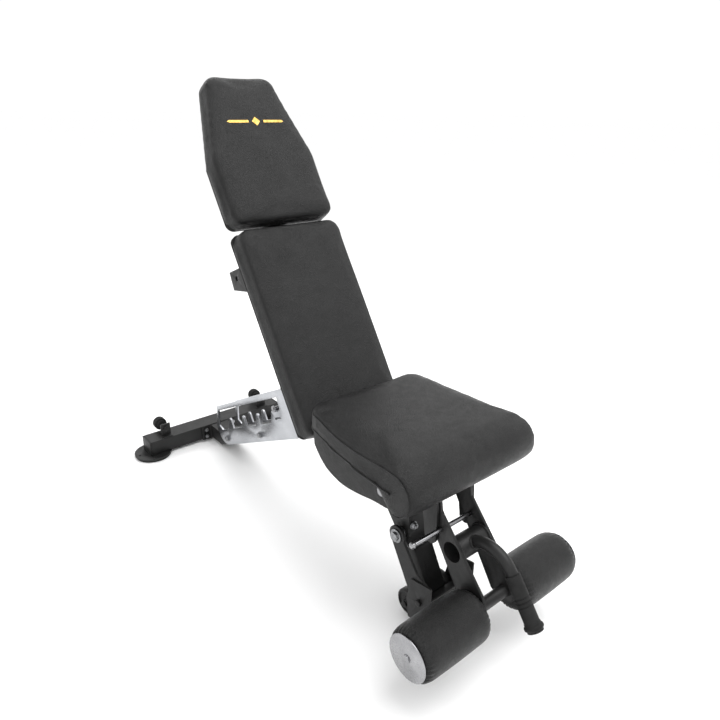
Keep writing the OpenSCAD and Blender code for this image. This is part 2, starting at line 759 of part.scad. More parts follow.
module strut_cross_pin() color("#d0d2d5") {
  bar(strut_foot, -44, 44, pin_r);
  both() bar(strut_foot, 38, 42, pin_r + 3);
}

main_beam();
rear_stabiliser_tube();
stabiliser_cap_left();
stabiliser_cap_right();
disc_foot_left();
disc_foot_right();
disc_foot_rubber_left();
disc_foot_rubber_right();
bumper_bracket_left();
bumper_bracket_right();
storage_bumper_left();
storage_bumper_right();
ladder_plate_left();
ladder_plate_right();
beam_bolts();
hinge_cheek_left();
hinge_cheek_right();
pivot_bolts();
front_bracket();
bracket_bolts();
leg_axle_bolt();
seat_clamp_knob();
leg_plate_left();
leg_plate_right();
leg_post();
front_foot_tube();
front_foot_channel();
foot_bolts();
front_foot_pads();
wheel_axle();
wheel_left();
wheel_right();
seat_pad();
seat_board();
seat_rail_left();
seat_rail_right();
seat_side_plate_left();
seat_side_plate_right();
seat_cross_tubes();
seat_side_bolts();
arm_pivot_bolt();
arm_plate_left();
arm_plate_right();
arm_cross_tube();
roller_axle();
handle_tube();
handle_grip();
roller_foam_left();
roller_foam_right();
roller_end_cap_left();
roller_end_cap_right();
arm_lock_pin();
backrest_pad();
headrest_pad();
backrest_board();
headrest_board();
backrest_frame();
strut_pivot_bolt();
support_strut();
strut_cross_pin();
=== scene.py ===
"""Looks of an adjustable weight bench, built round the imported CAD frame."""

import json
import math

import bmesh
import bpy
from mathutils import Matrix, Vector, noise
from mathutils.bvhtree import BVHTree


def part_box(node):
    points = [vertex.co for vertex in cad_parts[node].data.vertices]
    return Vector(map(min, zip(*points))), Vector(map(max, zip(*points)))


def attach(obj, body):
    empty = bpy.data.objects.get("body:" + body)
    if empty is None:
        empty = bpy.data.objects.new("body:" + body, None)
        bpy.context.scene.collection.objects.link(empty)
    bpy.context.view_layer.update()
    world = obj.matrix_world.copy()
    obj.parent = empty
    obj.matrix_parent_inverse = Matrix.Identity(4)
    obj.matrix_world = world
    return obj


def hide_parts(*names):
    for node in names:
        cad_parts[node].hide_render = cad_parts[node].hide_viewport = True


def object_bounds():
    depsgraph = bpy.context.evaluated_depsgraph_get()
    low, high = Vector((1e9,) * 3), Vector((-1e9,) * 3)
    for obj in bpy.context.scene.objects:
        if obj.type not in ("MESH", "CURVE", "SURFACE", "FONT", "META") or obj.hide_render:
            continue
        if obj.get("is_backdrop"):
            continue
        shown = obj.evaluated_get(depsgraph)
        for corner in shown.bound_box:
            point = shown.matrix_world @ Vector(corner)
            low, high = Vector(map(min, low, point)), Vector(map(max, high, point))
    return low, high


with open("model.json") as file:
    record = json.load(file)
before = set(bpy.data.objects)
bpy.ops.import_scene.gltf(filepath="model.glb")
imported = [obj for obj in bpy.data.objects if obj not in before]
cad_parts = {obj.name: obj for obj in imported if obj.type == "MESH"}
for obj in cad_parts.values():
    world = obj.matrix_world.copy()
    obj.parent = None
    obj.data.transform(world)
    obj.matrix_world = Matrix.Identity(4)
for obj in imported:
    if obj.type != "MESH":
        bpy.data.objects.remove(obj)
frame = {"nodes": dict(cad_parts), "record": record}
cad_low, cad_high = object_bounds()
scene = bpy.context.scene
nodes = frame["nodes"]
record = frame["record"]
joints = {j["name"]: j for j in record["behaviour"]["joints"]}

MM = 0.001
LADDER_SLOPE = math.radians(26.5)


# ---------------------------------------------------------------- materials

class Shader:
    """A node material, built from left to right."""

    def __init__(self, name):
        self.material = bpy.data.materials.new(name)
        self.material.use_nodes = True
        self.tree = self.material.node_tree
        self.bsdf = next(n for n in self.tree.nodes if n.type == "BSDF_PRINCIPLED")
        self.coords = self.add("ShaderNodeTexCoord").outputs["Object"]

    def add(self, kind, **values):
        node = self.tree.nodes.new(kind)
        for key, value in values.items():
            setattr(node, key, value)
        return node

    def link(self, source, target):
        self.tree.links.new(source, target)

    def set(self, **values):
        """Constants on the shader's own sockets."""
        for key, value in values.items():
            self.bsdf.inputs[key.replace("_", " ")].default_value = value

    def stretched(self, scale, turn=0.0):
        """Object coordinates scaled per axis, after a turn about X."""
        node = self.add("ShaderNodeMapping", vector_type="POINT")
        node.inputs["Rotation"].default_value = (turn, 0, 0)
        node.inputs["Scale"].default_value = scale
        self.link(self.coords, node.inputs["Vector"])
        return node.outputs["Vector"]

    def noise(self, scale, detail=4.0, rough=0.55, vector=None):
        node = self.add("ShaderNodeTexNoise")
        node.inputs["Scale"].default_value = scale
        node.inputs["Detail"].default_value = detail
        node.inputs["Roughness"].default_value = rough
        self.link(vector or self.coords, node.inputs["Vector"])
        return node.outputs["Fac"]

    def cells(self, scale, feature="F1", vector=None):
        node = self.add("ShaderNodeTexVoronoi", feature=feature)
        node.inputs["Scale"].default_value = scale
        self.link(vector or self.coords, node.inputs["Vector"])
        return node.outputs["Distance"]

    def ramp(self, value, *stops):
        """Maps a value through (position, colour or grey) stops."""
        node = self.add("ShaderNodeValToRGB")
        while len(node.color_ramp.elements) < len(stops):
            node.color_ramp.elements.new(0.5)
        for element, (at, shade) in zip(node.color_ramp.elements, stops):
            element.position = at
            element.color = (*shade, 1) if isinstance(shade, tuple) else (shade, shade, shade, 1)
        self.link(value, node.inputs["Fac"])
        return node.outputs["Color"]

    def math(self, kind, a, b):
        node = self.add("ShaderNodeMath", operation=kind)
        for socket, value in zip(node.inputs, (a, b)):
            if isinstance(value, (int, float)):
                socket.default_value = value
            else:
                self.link(value, socket)
        return node.outputs["Value"]

    def bump(self, height, strength, depth, under=None):
        node = self.add("ShaderNodeBump")
        node.inputs["Strength"].default_value = strength
        node.inputs["Distance"].default_value = depth
        self.link(height, node.inputs["Height"])
        if under is not None:
            self.link(under, node.inputs["Normal"])
        return node.outputs["Normal"]

    def finish(self, color=None, rough=None, normal=None):
        for value, socket in ((color, "Base Color"), (rough, "Roughness"), (normal, "Normal")):
            if value is not None:
                self.link(value, self.bsdf.inputs[socket])
        return self.material


def make_powder_coat():
    """Satin black powder coat with a fine orange peel and faint dust."""
    m = Shader("powder_coat")
    m.set(Metallic=0.0, IOR=1.5, Specular_IOR_Level=0.3)
    haze = m.noise(14, 5)
    grain = m.noise(1300, 3)
    color = m.ramp(haze, (0.35, 0.0085), (0.75, 0.0155))
    rough = m.ramp(m.noise(45, 4), (0.3, 0.38), (0.7, 0.5))
    normal = m.bump(grain, 0.35, 0.0003, m.bump(m.noise(260, 2), 0.2, 0.0004))
    return m.finish(color, rough, normal)


def make_polished_plate():
    """Bright rolled steel plate, polished along its length, with light scratches."""
    m = Shader("polished_plate")
    m.set(Metallic=1.0)
    along = m.stretched((40, 40, 1900), LADDER_SLOPE)
    color = m.ramp(m.noise(9, 4), (0.3, (0.34, 0.35, 0.37)), (0.7, (0.5, 0.51, 0.53)))
    rough = m.ramp(m.noise(3, 3, vector=along), (0.3, 0.2), (0.75, 0.38))
    normal = m.bump(m.noise(1, 2, vector=along), 0.08, 0.0002, m.bump(m.noise(22, 2), 0.03, 0.0005))
    return m.finish(color, rough, normal)


def make_zinc():
    """Zinc plated bolts and washers."""
    m = Shader("zinc")
    m.set(Metallic=1.0)
    color = m.ramp(m.noise(160, 5), (0.3, (0.2, 0.205, 0.215)), (0.7, (0.38, 0.385, 0.39)))
    rough = m.ramp(m.noise(90, 4), (0.3, 0.26), (0.7, 0.42))
    return m.finish(color, rough, m.bump(m.noise(700, 3), 0.12, 0.0003))


def make_bright_steel():
    """Chromed and spun steel."""
    m = Shader("bright_steel")
    m.set(Metallic=1.0)
    color = m.ramp(m.noise(30, 4), (0.3, (0.25, 0.25, 0.26)), (0.7, (0.36, 0.36, 0.37)))
    rough = m.ramp(m.noise(120, 4), (0.3, 0.2), (0.7, 0.36))
    return m.finish(color, rough, m.bump(m.noise(500, 3), 0.03, 0.0001))


def make_vinyl():
    """Black leatherette: pebbled grain, fine pores and slow changes of sheen."""
    m = Shader("black_vinyl")
    m.set(Metallic=0.0, IOR=1.48, Specular_IOR_Level=0.3)
    pebble = m.cells(620)
    pores = m.noise(1500, 3)
    creases = m.cells(240, "DISTANCE_TO_EDGE")
    tint = m.math("ADD", m.math("MULTIPLY", m.noise(18, 5), 0.45), m.math("MULTIPLY", m.noise(420, 4), 0.55))
    color = m.ramp(tint, (0.34, 0.0015), (0.66, 0.0115))
    rough = m.ramp(m.noise(70, 5), (0.28, 0.32), (0.72, 0.46))
    fine = m.bump(m.math("ADD", pebble, m.math("MULTIPLY", pores, 0.4)), 0.9, 0.001)
    wide = m.bump(m.ramp(creases, (0.0, 0.0), (0.12, 1.0)), 0.25, 0.0006, fine)
    return m.finish(color, rough, m.bump(m.noise(34, 3), 0.1, 0.003, wide))


def make_backing():
    """Birch plywood seen as black backing cloth on its faces."""
    m = Shader("backing_cloth")
    m.set(Metallic=0.0, Specular_IOR_Level=0.2)
    weave = m.math("MULTIPLY", m.noise(1, 2, vector=m.stretched((900, 160, 160))),
                   m.noise(1, 2, vector=m.stretched((160, 900, 900))))
    color = m.ramp(weave, (0.12, 0.006), (0.42, 0.021))
    rough = m.ramp(m.noise(60, 3), (0.3, 0.82), (0.7, 0.93))
    return m.finish(color, rough, m.bump(weave, 0.5, 0.0006))


def make_rubber():
    """Moulded rubber with a slightly dusty skin."""
    m = Shader("black_rubber")
    m.set(Metallic=0.0, IOR=1.45, Specular_IOR_Level=0.2)
    color = m.ramp(m.noise(40, 5), (0.3, 0.011), (0.75, 0.022))
    rough = m.ramp(m.noise(130, 4), (0.3, 0.6), (0.7, 0.76))
    return m.finish(color, rough, m.bump(m.noise(850, 3), 0.3, 0.0004))


def make_plastic():
    """Injection moulded black plastic with a fine texture."""
    m = Shader("black_plastic")
    m.set(Metallic=0.0, IOR=1.49, Specular_IOR_Level=0.3)
    color = m.ramp(m.noise(25, 4), (0.3, 0.01), (0.7, 0.017))
    rough = m.ramp(m.noise(80, 3), (0.3, 0.42), (0.7, 0.54))
    return m.finish(color, rough, m.bump(m.cells(1100), 0.2, 0.0003))


def make_gold():
    """Metallic gold foil pressed on the vinyl."""
    m = Shader("gold_foil")
    m.set(Metallic=1.0)
    color = m.ramp(m.noise(120, 4), (0.3, (0.3, 0.18, 0.045)), (0.7, (0.5, 0.33, 0.1)))
    rough = m.ramp(m.noise(300, 3), (0.3, 0.26), (0.7, 0.42))
    return m.finish(color, rough, m.bump(m.cells(900), 0.25, 0.0003))


MATERIALS = {
    "frame_black": make_powder_coat(),
    "ladder_steel": make_polished_plate(),
    "bolt_steel": make_zinc(),
    "bright_steel": make_bright_steel(),
    "black_vinyl": make_vinyl(),
    "plywood": make_backing(),
    "black_rubber": make_rubber(),
    "black_plastic": make_plastic(),
}
GOLD = make_gold()


# ---------------------------------------------------------------- mesh tools

def smooth_group():
    """Geometry nodes that shade smooth except across edges sharper than the angle."""
    group = bpy.data.node_groups.new("smooth_by_angle", "GeometryNodeTree")
    group.interface.new_socket("Geometry", in_out="INPUT", socket_type="NodeSocketGeometry")
    group.interface.new_socket("Geometry", in_out="OUTPUT", socket_type="NodeSocketGeometry")
    start = group.nodes.new("NodeGroupInput")
    end = group.nodes.new("NodeGroupOutput")
    faces = group.nodes.new("GeometryNodeSetShadeSmooth")
    faces.domain = "FACE"
    edges = group.nodes.new("GeometryNodeSetShadeSmooth")
    edges.domain = "EDGE"
    edges.inputs["Shade Smooth"].default_value = False
    angle = group.nodes.new("GeometryNodeInputMeshEdgeAngle")
    sharp = group.nodes.new("FunctionNodeCompare")
    sharp.data_type = "FLOAT"
    sharp.operation = "GREATER_THAN"
    sharp.inputs["B"].default_value = math.radians(24)
    group.links.new(start.outputs[0], faces.inputs["Geometry"])
    group.links.new(faces.outputs[0], edges.inputs["Geometry"])
    group.links.new(angle.outputs["Unsigned Angle"], sharp.inputs["A"])
    group.links.new(sharp.outputs["Result"], edges.inputs["Selection"])
    group.links.new(edges.outputs[0], end.inputs[0])
    return group


SMOOTH = smooth_group()


def add_smooth(obj):
    obj.modifiers.new("smooth", "NODES").node_group = SMOOTH


def dress_cad_node(obj, slot_name):
    """Gives a CAD node its material, softened edges and smooth shading."""
    obj.data.materials.clear()
    obj.data.materials.append(MATERIALS[slot_name])
    weld = obj.modifiers.new("weld", "WELD")
    weld.merge_threshold = 0.02 * MM
    bevel = obj.modifiers.new("edge", "BEVEL")
    bevel.width = EDGE_SOFTNESS.get(obj.name, 0.8 * MM)
    bevel.segments = 2
    bevel.limit_method = "ANGLE"
    bevel.angle_limit = math.radians(40)
    bevel.use_clamp_overlap = True
    add_smooth(obj)


EDGE_SOFTNESS = {
    "main_beam": 3 * MM,
    "rear_stabiliser_tube": 3 * MM,
    "front_foot_tube": 3 * MM,
    "backrest_frame": 1.6 * MM,
    "ladder_plate_left": 0.9 * MM,
    "ladder_plate_right": 0.9 * MM,
}


def mesh_object(name, verts, faces, material, body, subdivide=0):
    mesh = bpy.data.meshes.new(name)
    mesh.from_pydata([tuple(v) for v in verts], [], faces)
    mesh.validate()
    obj = bpy.data.objects.new(name, mesh)
    scene.collection.objects.link(obj)
    mesh.materials.append(material)
    mesh.polygons.foreach_set("use_smooth", [True] * len(mesh.polygons))
    if subdivide:
        more = obj.modifiers.new("subdivide", "SUBSURF")
        more.levels = subdivide
        more.render_levels = subdivide
    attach(obj, body)
    return obj


def freeze(obj):
    """Applies every modifier."""
    bpy.context.view_layer.update()
    evaluated = obj.evaluated_get(bpy.context.evaluated_depsgraph_get())
    mesh = bpy.data.meshes.new_from_object(evaluated)
    obj.modifiers.clear()
    obj.data = mesh


def rounded(points, radii, steps=7):
    """Corner points of a closed outline, each rounded to its radius."""
    out = []
    count = len(points)
    for i, corner in enumerate(points):
        corner = Vector(corner)
        before = (Vector(points[i - 1]) - corner).normalized()
        after = (Vector(points[(i + 1) % count]) - corner).normalized()
        half = before.angle(after) / 2
        reach = radii[i] / math.tan(half)
        centre = corner + (before + after).normalized() * radii[i] / math.sin(half)
        a = corner + before * reach - centre
        b = corner + after * reach - centre
        turn = a.angle_signed(b)
        for k in range(steps + 1):
            t = -turn * k / steps
            out.append(centre + Vector((
                a.x * math.cos(t) - a.y * math.sin(t),
                a.x * math.sin(t) + a.y * math.cos(t),
            )))
    return out


def tube_along(name, points, radius, material, body, closed=True, sides=8, ripple=None):
    """A round cord along points, used for welts, seams and weld beads."""
    verts, faces = [], []
    count = len(points)
    side = None
    for i, p in enumerate(points):
        ahead = points[(i + 1) % count] if closed or i < count - 1 else p
        behind = points[i - 1] if closed or i > 0 else p
        way = (ahead - behind).normalized()
        if side is None:
            side = way.orthogonal().normalized()
        side = (side - way * side.dot(way)).normalized()
        up = way.cross(side)
        r = radius * (ripple(i) if ripple else 1.0)
        for k in range(sides):
            t = 2 * math.pi * k / sides
            verts.append(p + side * math.cos(t) * r + up * math.sin(t) * r)
    for i in range(count if closed else count - 1):
        for k in range(sides):
            a, b = i * sides + k, i * sides + (k + 1) % sides
            c = (i + 1) % count * sides
            faces.append((a, b, c + (k + 1) % sides, c + k))
    if not closed:
        faces.append(tuple(reversed(range(sides))))
        faces.append(tuple(range((count - 1) * sides, count * sides)))
    return mesh_object(name, verts, faces, material, body)


def resample(points, step, closed=True):
    """Points a fixed distance apart along a polyline."""
    pts = [Vector(p) for p in points] + ([Vector(points[0])] if closed else [])
    total = sum((b - a).length for a, b in zip(pts, pts[1:]))
    count = max(8, round(total / step))
    gap = total / count
    out, passed, want = [], 0.0, 0.0
    for a, b in zip(pts, pts[1:]):
        length = (b - a).length
        while want <= passed + length + 1e-9 and len(out) < count + (0 if closed else 1):
            out.append(a.lerp(b, (want - passed) / length if length else 0))
            want += gap
        passed += length
    return out


# ---------------------------------------------------------------- CAD nodes

for row in record["subparts"]:
    dress_cad_node(nodes[row["node"]], row["material_slot"])


# ---------------------------------------------------------------- cushions

hinge = Vector(joints["backrest_recline"]["pos_m"])
lean = -math.radians(joints["backrest_recline"]["range_deg"][0])
BACK = Matrix.Translation(hinge) @ Matrix.Rotation(lean, 4, "X")


def local_box(node, matrix):
    """Lowest and highest corner of a CAD node, or of a finished piece, in another frame."""
    inverse = matrix.inverted()
    piece = nodes[node] if node in nodes else bpy.data.objects[node]
    pts = [inverse @ v.co for v in piece.data.vertices]
    return (
        Vector([min(p[i] for p in pts) for i in range(3)]),
        Vector([max(p[i] for p in pts) for i in range(3)]),
    )


def remeshed(obj, voxel):
    mod = obj.modifiers.new("remesh", "REMESH")
    mod.mode = "VOXEL"
    mod.voxel_size = voxel
    freeze(obj)


def relax(obj, times, factor=0.5):
    mod = obj.modifiers.new("relax", "SMOOTH")
    mod.factor = factor
    mod.iterations = times
    freeze(obj)


def inflate(obj, held, cap, pressure=4.0, frames=20):
    """Cloth simulation under pressure; held(co) says what stays put, cap limits the swelling."""
    start = [v.co.copy() for v in obj.data.vertices]
    group = obj.vertex_groups.new(name="held")
    for v in obj.data.vertices:
        weight = held(v.co)
        if weight > 0:
            group.add([v.index], weight, "REPLACE")
    cloth = obj.modifiers.new("cloth", "CLOTH")
    s = cloth.settings
    s.quality = 5
    s.mass = 0.3
    s.tension_stiffness = 25
    s.compression_stiffness = 25
    s.shear_stiffness = 12
    s.bending_stiffness = 1.5
    s.use_pressure = True
    s.uniform_pressure_force = pressure
    s.vertex_group_mass = "held"
    s.effector_weights.gravity = 0
    cloth.point_cache.frame_start = 1
    cloth.point_cache.frame_end = frames
    for f in range(1, frames + 1):
        scene.frame_set(f)
    freeze(obj)
    obj.vertex_groups.clear()
    for v, a in zip(obj.data.vertices, start):
        move = v.co - a
        size = move.length
        if size > 1e-9:
            v.co = a + move * (cap / (cap + size))
    scene.frame_set(1)


def subdivided(obj, levels=1):
    more = obj.modifiers.new("subdivide", "SUBSURF")
    more.levels = levels
    more.render_levels = levels
    freeze(obj)
    obj.data.polygons.foreach_set("use_smooth", [True] * len(obj.data.polygons))


def loft(rings):
    """Vertices and quad faces of a closed shell through rings of equal length, capped at both ends."""
    verts = [p for ring in rings for p in ring]
    n = len(rings[0])
    faces = []
    for r in range(len(rings) - 1):
        for k in range(n):
            a, b = r * n + k, r * n + (k + 1) % n
            faces.append((a, b, b + n, a + n))
    faces.append(tuple(reversed(range(n))))
    faces.append(tuple(range((len(rings) - 1) * n, len(rings) * n)))
    return verts, faces


def inset_outline(outline, amount):
    """The outline moved inwards."""
    out = []
    n = len(outline)
    for i, p in enumerate(outline):
        way = (outline[(i + 1) % n] - outline[i - 1]).normalized()
        out.append(p + Vector((-way.y, way.x)) * amount)
    return out


def back_pad(name, node, corners, radii, wrap):
    """A wrapped, crowned cushion on the backrest.

    corners are its outline, and wrap is the depth it goes round the board.
    """
    low, high = local_box(node, BACK)
    start = 1.5 * MM
    outline = rounded(corners, radii)
    edge = 9 * MM
    rings = []
    bottom = low.z - wrap
    for inset, height in (
        (start + 22 * MM, bottom),
        (start + 3 * MM, bottom),
        (start, bottom + 4 * MM),
        (start, (bottom + high.z) / 2),
        (start, high.z - edge - start),
        (start + 0.3 * edge, high.z - 0.3 * edge - start),
        (start + edge, high.z - start),
        (start + 30 * MM, high.z - start),
    ):
        rings.append([Vector((p.x, p.y, height)) for p in inset_outline(outline, inset)])
    verts, faces = loft(rings)
    pad = mesh_object(name, verts, faces, MATERIALS["black_vinyl"], "backrest")
    remeshed(pad, 6 * MM)
    relax(pad, 3)
    inflate(pad, lambda co: 1.0 if co.z < low.z - 1 * MM else 0.0, 5 * MM)
    relax(pad, 2)
    subdivided(pad)
    pad.data.transform(BACK)
    pad.data.materials.clear()
    pad.data.materials.append(MATERIALS["black_vinyl"])
    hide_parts(node)
    return pad


low, high = local_box("backrest_pad", BACK)
back_pad(
    "backrest_cushion", "backrest_pad",
    [(low.x, low.y), (high.x, low.y), (high.x, high.y), (low.x, high.y)],
    [26 * MM, 26 * MM, 34 * MM, 34 * MM], 11 * MM,
)

low, high = local_box("headrest_pad", BACK)
BACK_INVERSE = BACK.inverted()
head_points = [BACK_INVERSE @ v.co for v in nodes["headrest_pad"].data.vertices]
head_top_half = max(p.x for p in head_points if p.y > high.y - 1 * MM) + 19 * MM
head_kink = max(p.y for p in head_points if p.x > high.x - 0.5 * MM)
head_cushion = back_pad(
    "headrest_cushion", "headrest_pad",
    [
        (low.x, low.y), (high.x, low.y), (high.x, head_kink), (head_top_half, high.y),
        (-head_top_half, high.y), (low.x, head_kink),
    ],
    [26 * MM, 26 * MM, 50 * MM, 32 * MM, 32 * MM, 50 * MM], 11 * MM,
)


# ---------------------------------------------------------------- seat

def smooth_step(x):
    x = min(max(x, 0.0), 1.0)
    return x * x * (3 - 2 * x)


seat_low, seat_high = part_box("seat_pad")
side_low, side_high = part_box("seat_side_plate_left")
LIP_R = (seat_high.z - seat_low.z) / 2
LIP_Y = seat_low.y + LIP_R
REAR_HALF = seat_high.x - 21 * MM
FRONT_HALF = seat_high.x + 2 * MM
REAR_CORNER = 30 * MM
SWELL = 3 * MM


def seat_f(y):
    """0 at the seat's rear edge, 1 at the middle of its front lip."""
    return (seat_high.y - y) / (seat_high.y - LIP_Y)


def seat_edge(y):
    """Height of the seat's upper side edge, which dips in the middle like a saddle."""
    f = seat_f(y)
    dip = 9 * MM * smooth_step((f - 0.06) / 0.42) - 5 * MM * smooth_step((f - 0.62) / 0.42)
    return seat_high.z - 7 * MM - dip


def seat_under(y):
    """Height of the pad's lower side edge."""
    return seat_high.z - 48 * MM - 12 * MM * smooth_step(seat_f(y) / 0.8)


def seat_half(y):
    """Half width of the seat."""
    half = FRONT_HALF - (FRONT_HALF - REAR_HALF) * (1 - min(max(seat_f(y), 0.0) / 0.75, 1.0)) ** 2
    past = y - (seat_high.y - REAR_CORNER)
    if past > 0:
        half -= REAR_CORNER - math.sqrt(max(REAR_CORNER ** 2 - past ** 2, 0.0))
    return half


def seat_profile(t):
    """Side-view loop at t across the seat (-1 to 1): underside to the front, then back along the top."""
    side = abs(t)
    radius = LIP_R + 2 * MM - 5 * MM * side ** 8
    top = seat_high.z - 8 * MM * side ** 6
    rear = seat_high.y - SWELL
    steps = 26
    under, over = [], []
    for i in range(steps + 1):
        y = rear + (LIP_Y - rear) * i / steps
        crown = 1 - side ** 14
        blend = smooth_step((seat_f(y) - 0.8) / 0.2)
        middle = seat_high.z + 2 * MM - 2 * MM * blend
        edge = seat_edge(y) * (1 - blend) + (top - SWELL) * blend
        over.append((y, edge + (middle - edge) * crown - SWELL * 0.5))
        flat = max(seat_under(y), seat_low.z + 21 * MM) if side < 0.86 else seat_under(y)
        under.append((y, flat * (1 - blend) + (top - 2 * radius) * blend))
    for i in range(1, 9):
        a = math.pi / 2 * i / 8
        for line, sign in ((under, -1), (over, 1)):
            line.append((LIP_Y - math.sin(a) * radius, top - SWELL - radius + sign * math.cos(a) * radius))
    return under, over


def seat_mesh():
    verts, faces = [], []
    across = 34
    for i in range(across + 1):
        t = math.sin(math.pi * (i / across - 0.5))
        under, over = seat_profile(t)
        loop = under + over[-2::-1]
        n = len(loop)
        for y, z in loop:
            verts.append((t * seat_half(max(y, LIP_Y)), y, z))
    for i in range(across):
        for k in range(n):
            a, b = i * n + k, i * n + (k + 1) % n
            faces.append((a, b, b + n, a + n))
    half = len(under)
    for base, flip in ((0, False), (across * n, True)):
        for k in range(half - 1):
            quad = [base + k, base + (n - k) % n, base + (n - k - 1) % n, base + k + 1]
            quad = [q for i, q in enumerate(quad) if q not in quad[:i]]
            if len(quad) > 2:
                faces.append(tuple(reversed(quad)) if flip else tuple(quad))
    return verts, faces


def outward(obj):
    """Turns every face to the outside."""
    work = bmesh.new()
    work.from_mesh(obj.data)
    bmesh.ops.remove_doubles(work, verts=work.verts, dist=0.01 * MM)
    bmesh.ops.recalc_face_normals(work, faces=work.faces)
    if work.calc_volume(signed=True) < 0:
        bmesh.ops.reverse_faces(work, faces=work.faces)
    work.to_mesh(obj.data)
    work.free()


def make_seat():
    verts, faces = seat_mesh()
    pad = mesh_object("seat_cushion", verts, faces, MATERIALS["black_vinyl"], "seat")
    outward(pad)
    remeshed(pad, 6 * MM)
    relax(pad, 2)
    inflate(pad, lambda co: 1.0 if co.z < seat_under(co.y) + 8 * MM and co.y > LIP_Y + LIP_R else 0.0, 5 * MM)
    subdivided(pad)
    pad.data.materials.clear()
    pad.data.materials.append(MATERIALS["black_vinyl"])
    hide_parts("seat_pad")
    return pad


def surface(obj):
    """Search tree over a finished mesh."""
    return BVHTree.FromPolygons([v.co for v in obj.data.vertices], [p.vertices for p in obj.data.polygons])


def lay_on(tree, points, lift):
    """Moves points to the nearest place on a surface, lifted off it."""
    out = []
    for p in points:
        spot, normal, *_ = tree.find_nearest(p)
        out.append(spot + normal * lift)
    return out


def evened(points, times=2):
    """A smoother copy of an open line."""
    for _ in range(times):
        points = [points[0]] + [
            (a + b * 2 + c) / 4 for a, b, c in zip(points, points[1:], points[2:])
        ] + [points[-1]]
    return points


seat_cushion = make_seat()
seat_tree = surface(seat_cushion)
for sign, side in ((1, "left"), (-1, "right")):
    line = []
    rear = seat_high.y - 6 * MM
    for i in range(61):
        y = rear + (LIP_Y - rear) * i / 60
        line.append(Vector((sign * seat_half(y), y, seat_edge(y) - 5 * MM)))
    radius = LIP_R - 7 * MM
    for i in range(1, 25):
        a = math.pi * i / 24
        line.append(Vector((
            sign * FRONT_HALF, LIP_Y - math.sin(a) * radius,
            seat_high.z - 9 * MM - LIP_R + math.cos(a) * radius,
        )))
    line = evened(lay_on(seat_tree, line, 0.4 * MM))
    tube_along(
        "seat_welt_" + side, resample(line, 3 * MM, False), 1.5 * MM,
        MATERIALS["black_vinyl"], "seat", closed=False,
    )
    low_line = []
    for i in range(50):
        y = rear + (LIP_Y + 6 * MM - rear) * i / 49
        low_line.append(Vector((sign * seat_half(y), y, seat_under(y) + 3 * MM)))
    low_line = evened(lay_on(seat_tree, low_line, 0.5 * MM))
    tube_along(
        "seat_lower_welt_" + side, resample(low_line, 3 * MM, False), 2.2 * MM,
        MATERIALS["black_vinyl"], "seat", closed=False,
    )


def extruded(name, outline, x0, x1, material, body, edge=1.2 * MM):
    """A plate with a side-view outline, from x0 to x1, its edges softened."""
    n = len(outline)
    verts = [(x, y, z) for x in (x0, x1) for y, z in outline]
    faces = [tuple(range(n)), tuple(range(2 * n - 1, n - 1, -1))]
    faces += [(k, k + n, (k + 1) % n + n, (k + 1) % n) for k in range(n)]
    obj = mesh_object(name, verts, faces, material, body)
    outward(obj)
    bevel = obj.modifiers.new("edge", "BEVEL")
    bevel.width = edge
    bevel.segments = 3
    bevel.limit_method = "ANGLE"
    bevel.angle_limit = math.radians(50)
    add_smooth(obj)
    return obj


def valance_outline():
    """Side view of the cover below the seat's side, a crescent that runs out under the lip."""
    lower = [
        (seat_high.y - 16 * MM, seat_high.z - 88 * MM),
        (seat_high.y - 32 * MM, seat_high.z - 108 * MM),
        (seat_high.y - 58 * MM, seat_high.z - 128 * MM),
        (seat_high.y - 100 * MM, seat_high.z - 139 * MM),
        (seat_high.y - 130 * MM, seat_high.z - 139 * MM),
        (seat_high.y - 166 * MM, seat_high.z - 134 * MM),
        (seat_high.y - 210 * MM, seat_high.z - 125 * MM),
        (seat_high.y - 244 * MM, seat_high.z - 123 * MM),
        (seat_high.y - 276 * MM, seat_high.z - 114 * MM),
        (seat_high.y - 297 * MM, seat_high.z - 96 * MM),
    ]
    curve = resample([Vector((y, z, 0)) for y, z in lower], 6 * MM, False)
    curve = evened(curve, 6)
    upper = []
    for i in range(31):
        y = LIP_Y + (seat_high.y - 12 * MM - LIP_Y) * i / 30
        upper.append((y, seat_under(y) + 6 * MM))
    return [(p.x, p.y) for p in curve] + upper


for sign, side in ((1, "left"), (-1, "right")):
    cover = extruded(
        "seat_valance_" + side, valance_outline(),
        sign * (side_low.x - 0.5 * MM), sign * (side_high.x + 1 * MM),
        MATERIALS["black_vinyl"], "seat",
    )
    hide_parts("seat_side_plate_" + side)


# ---------------------------------------------------------------- rollers

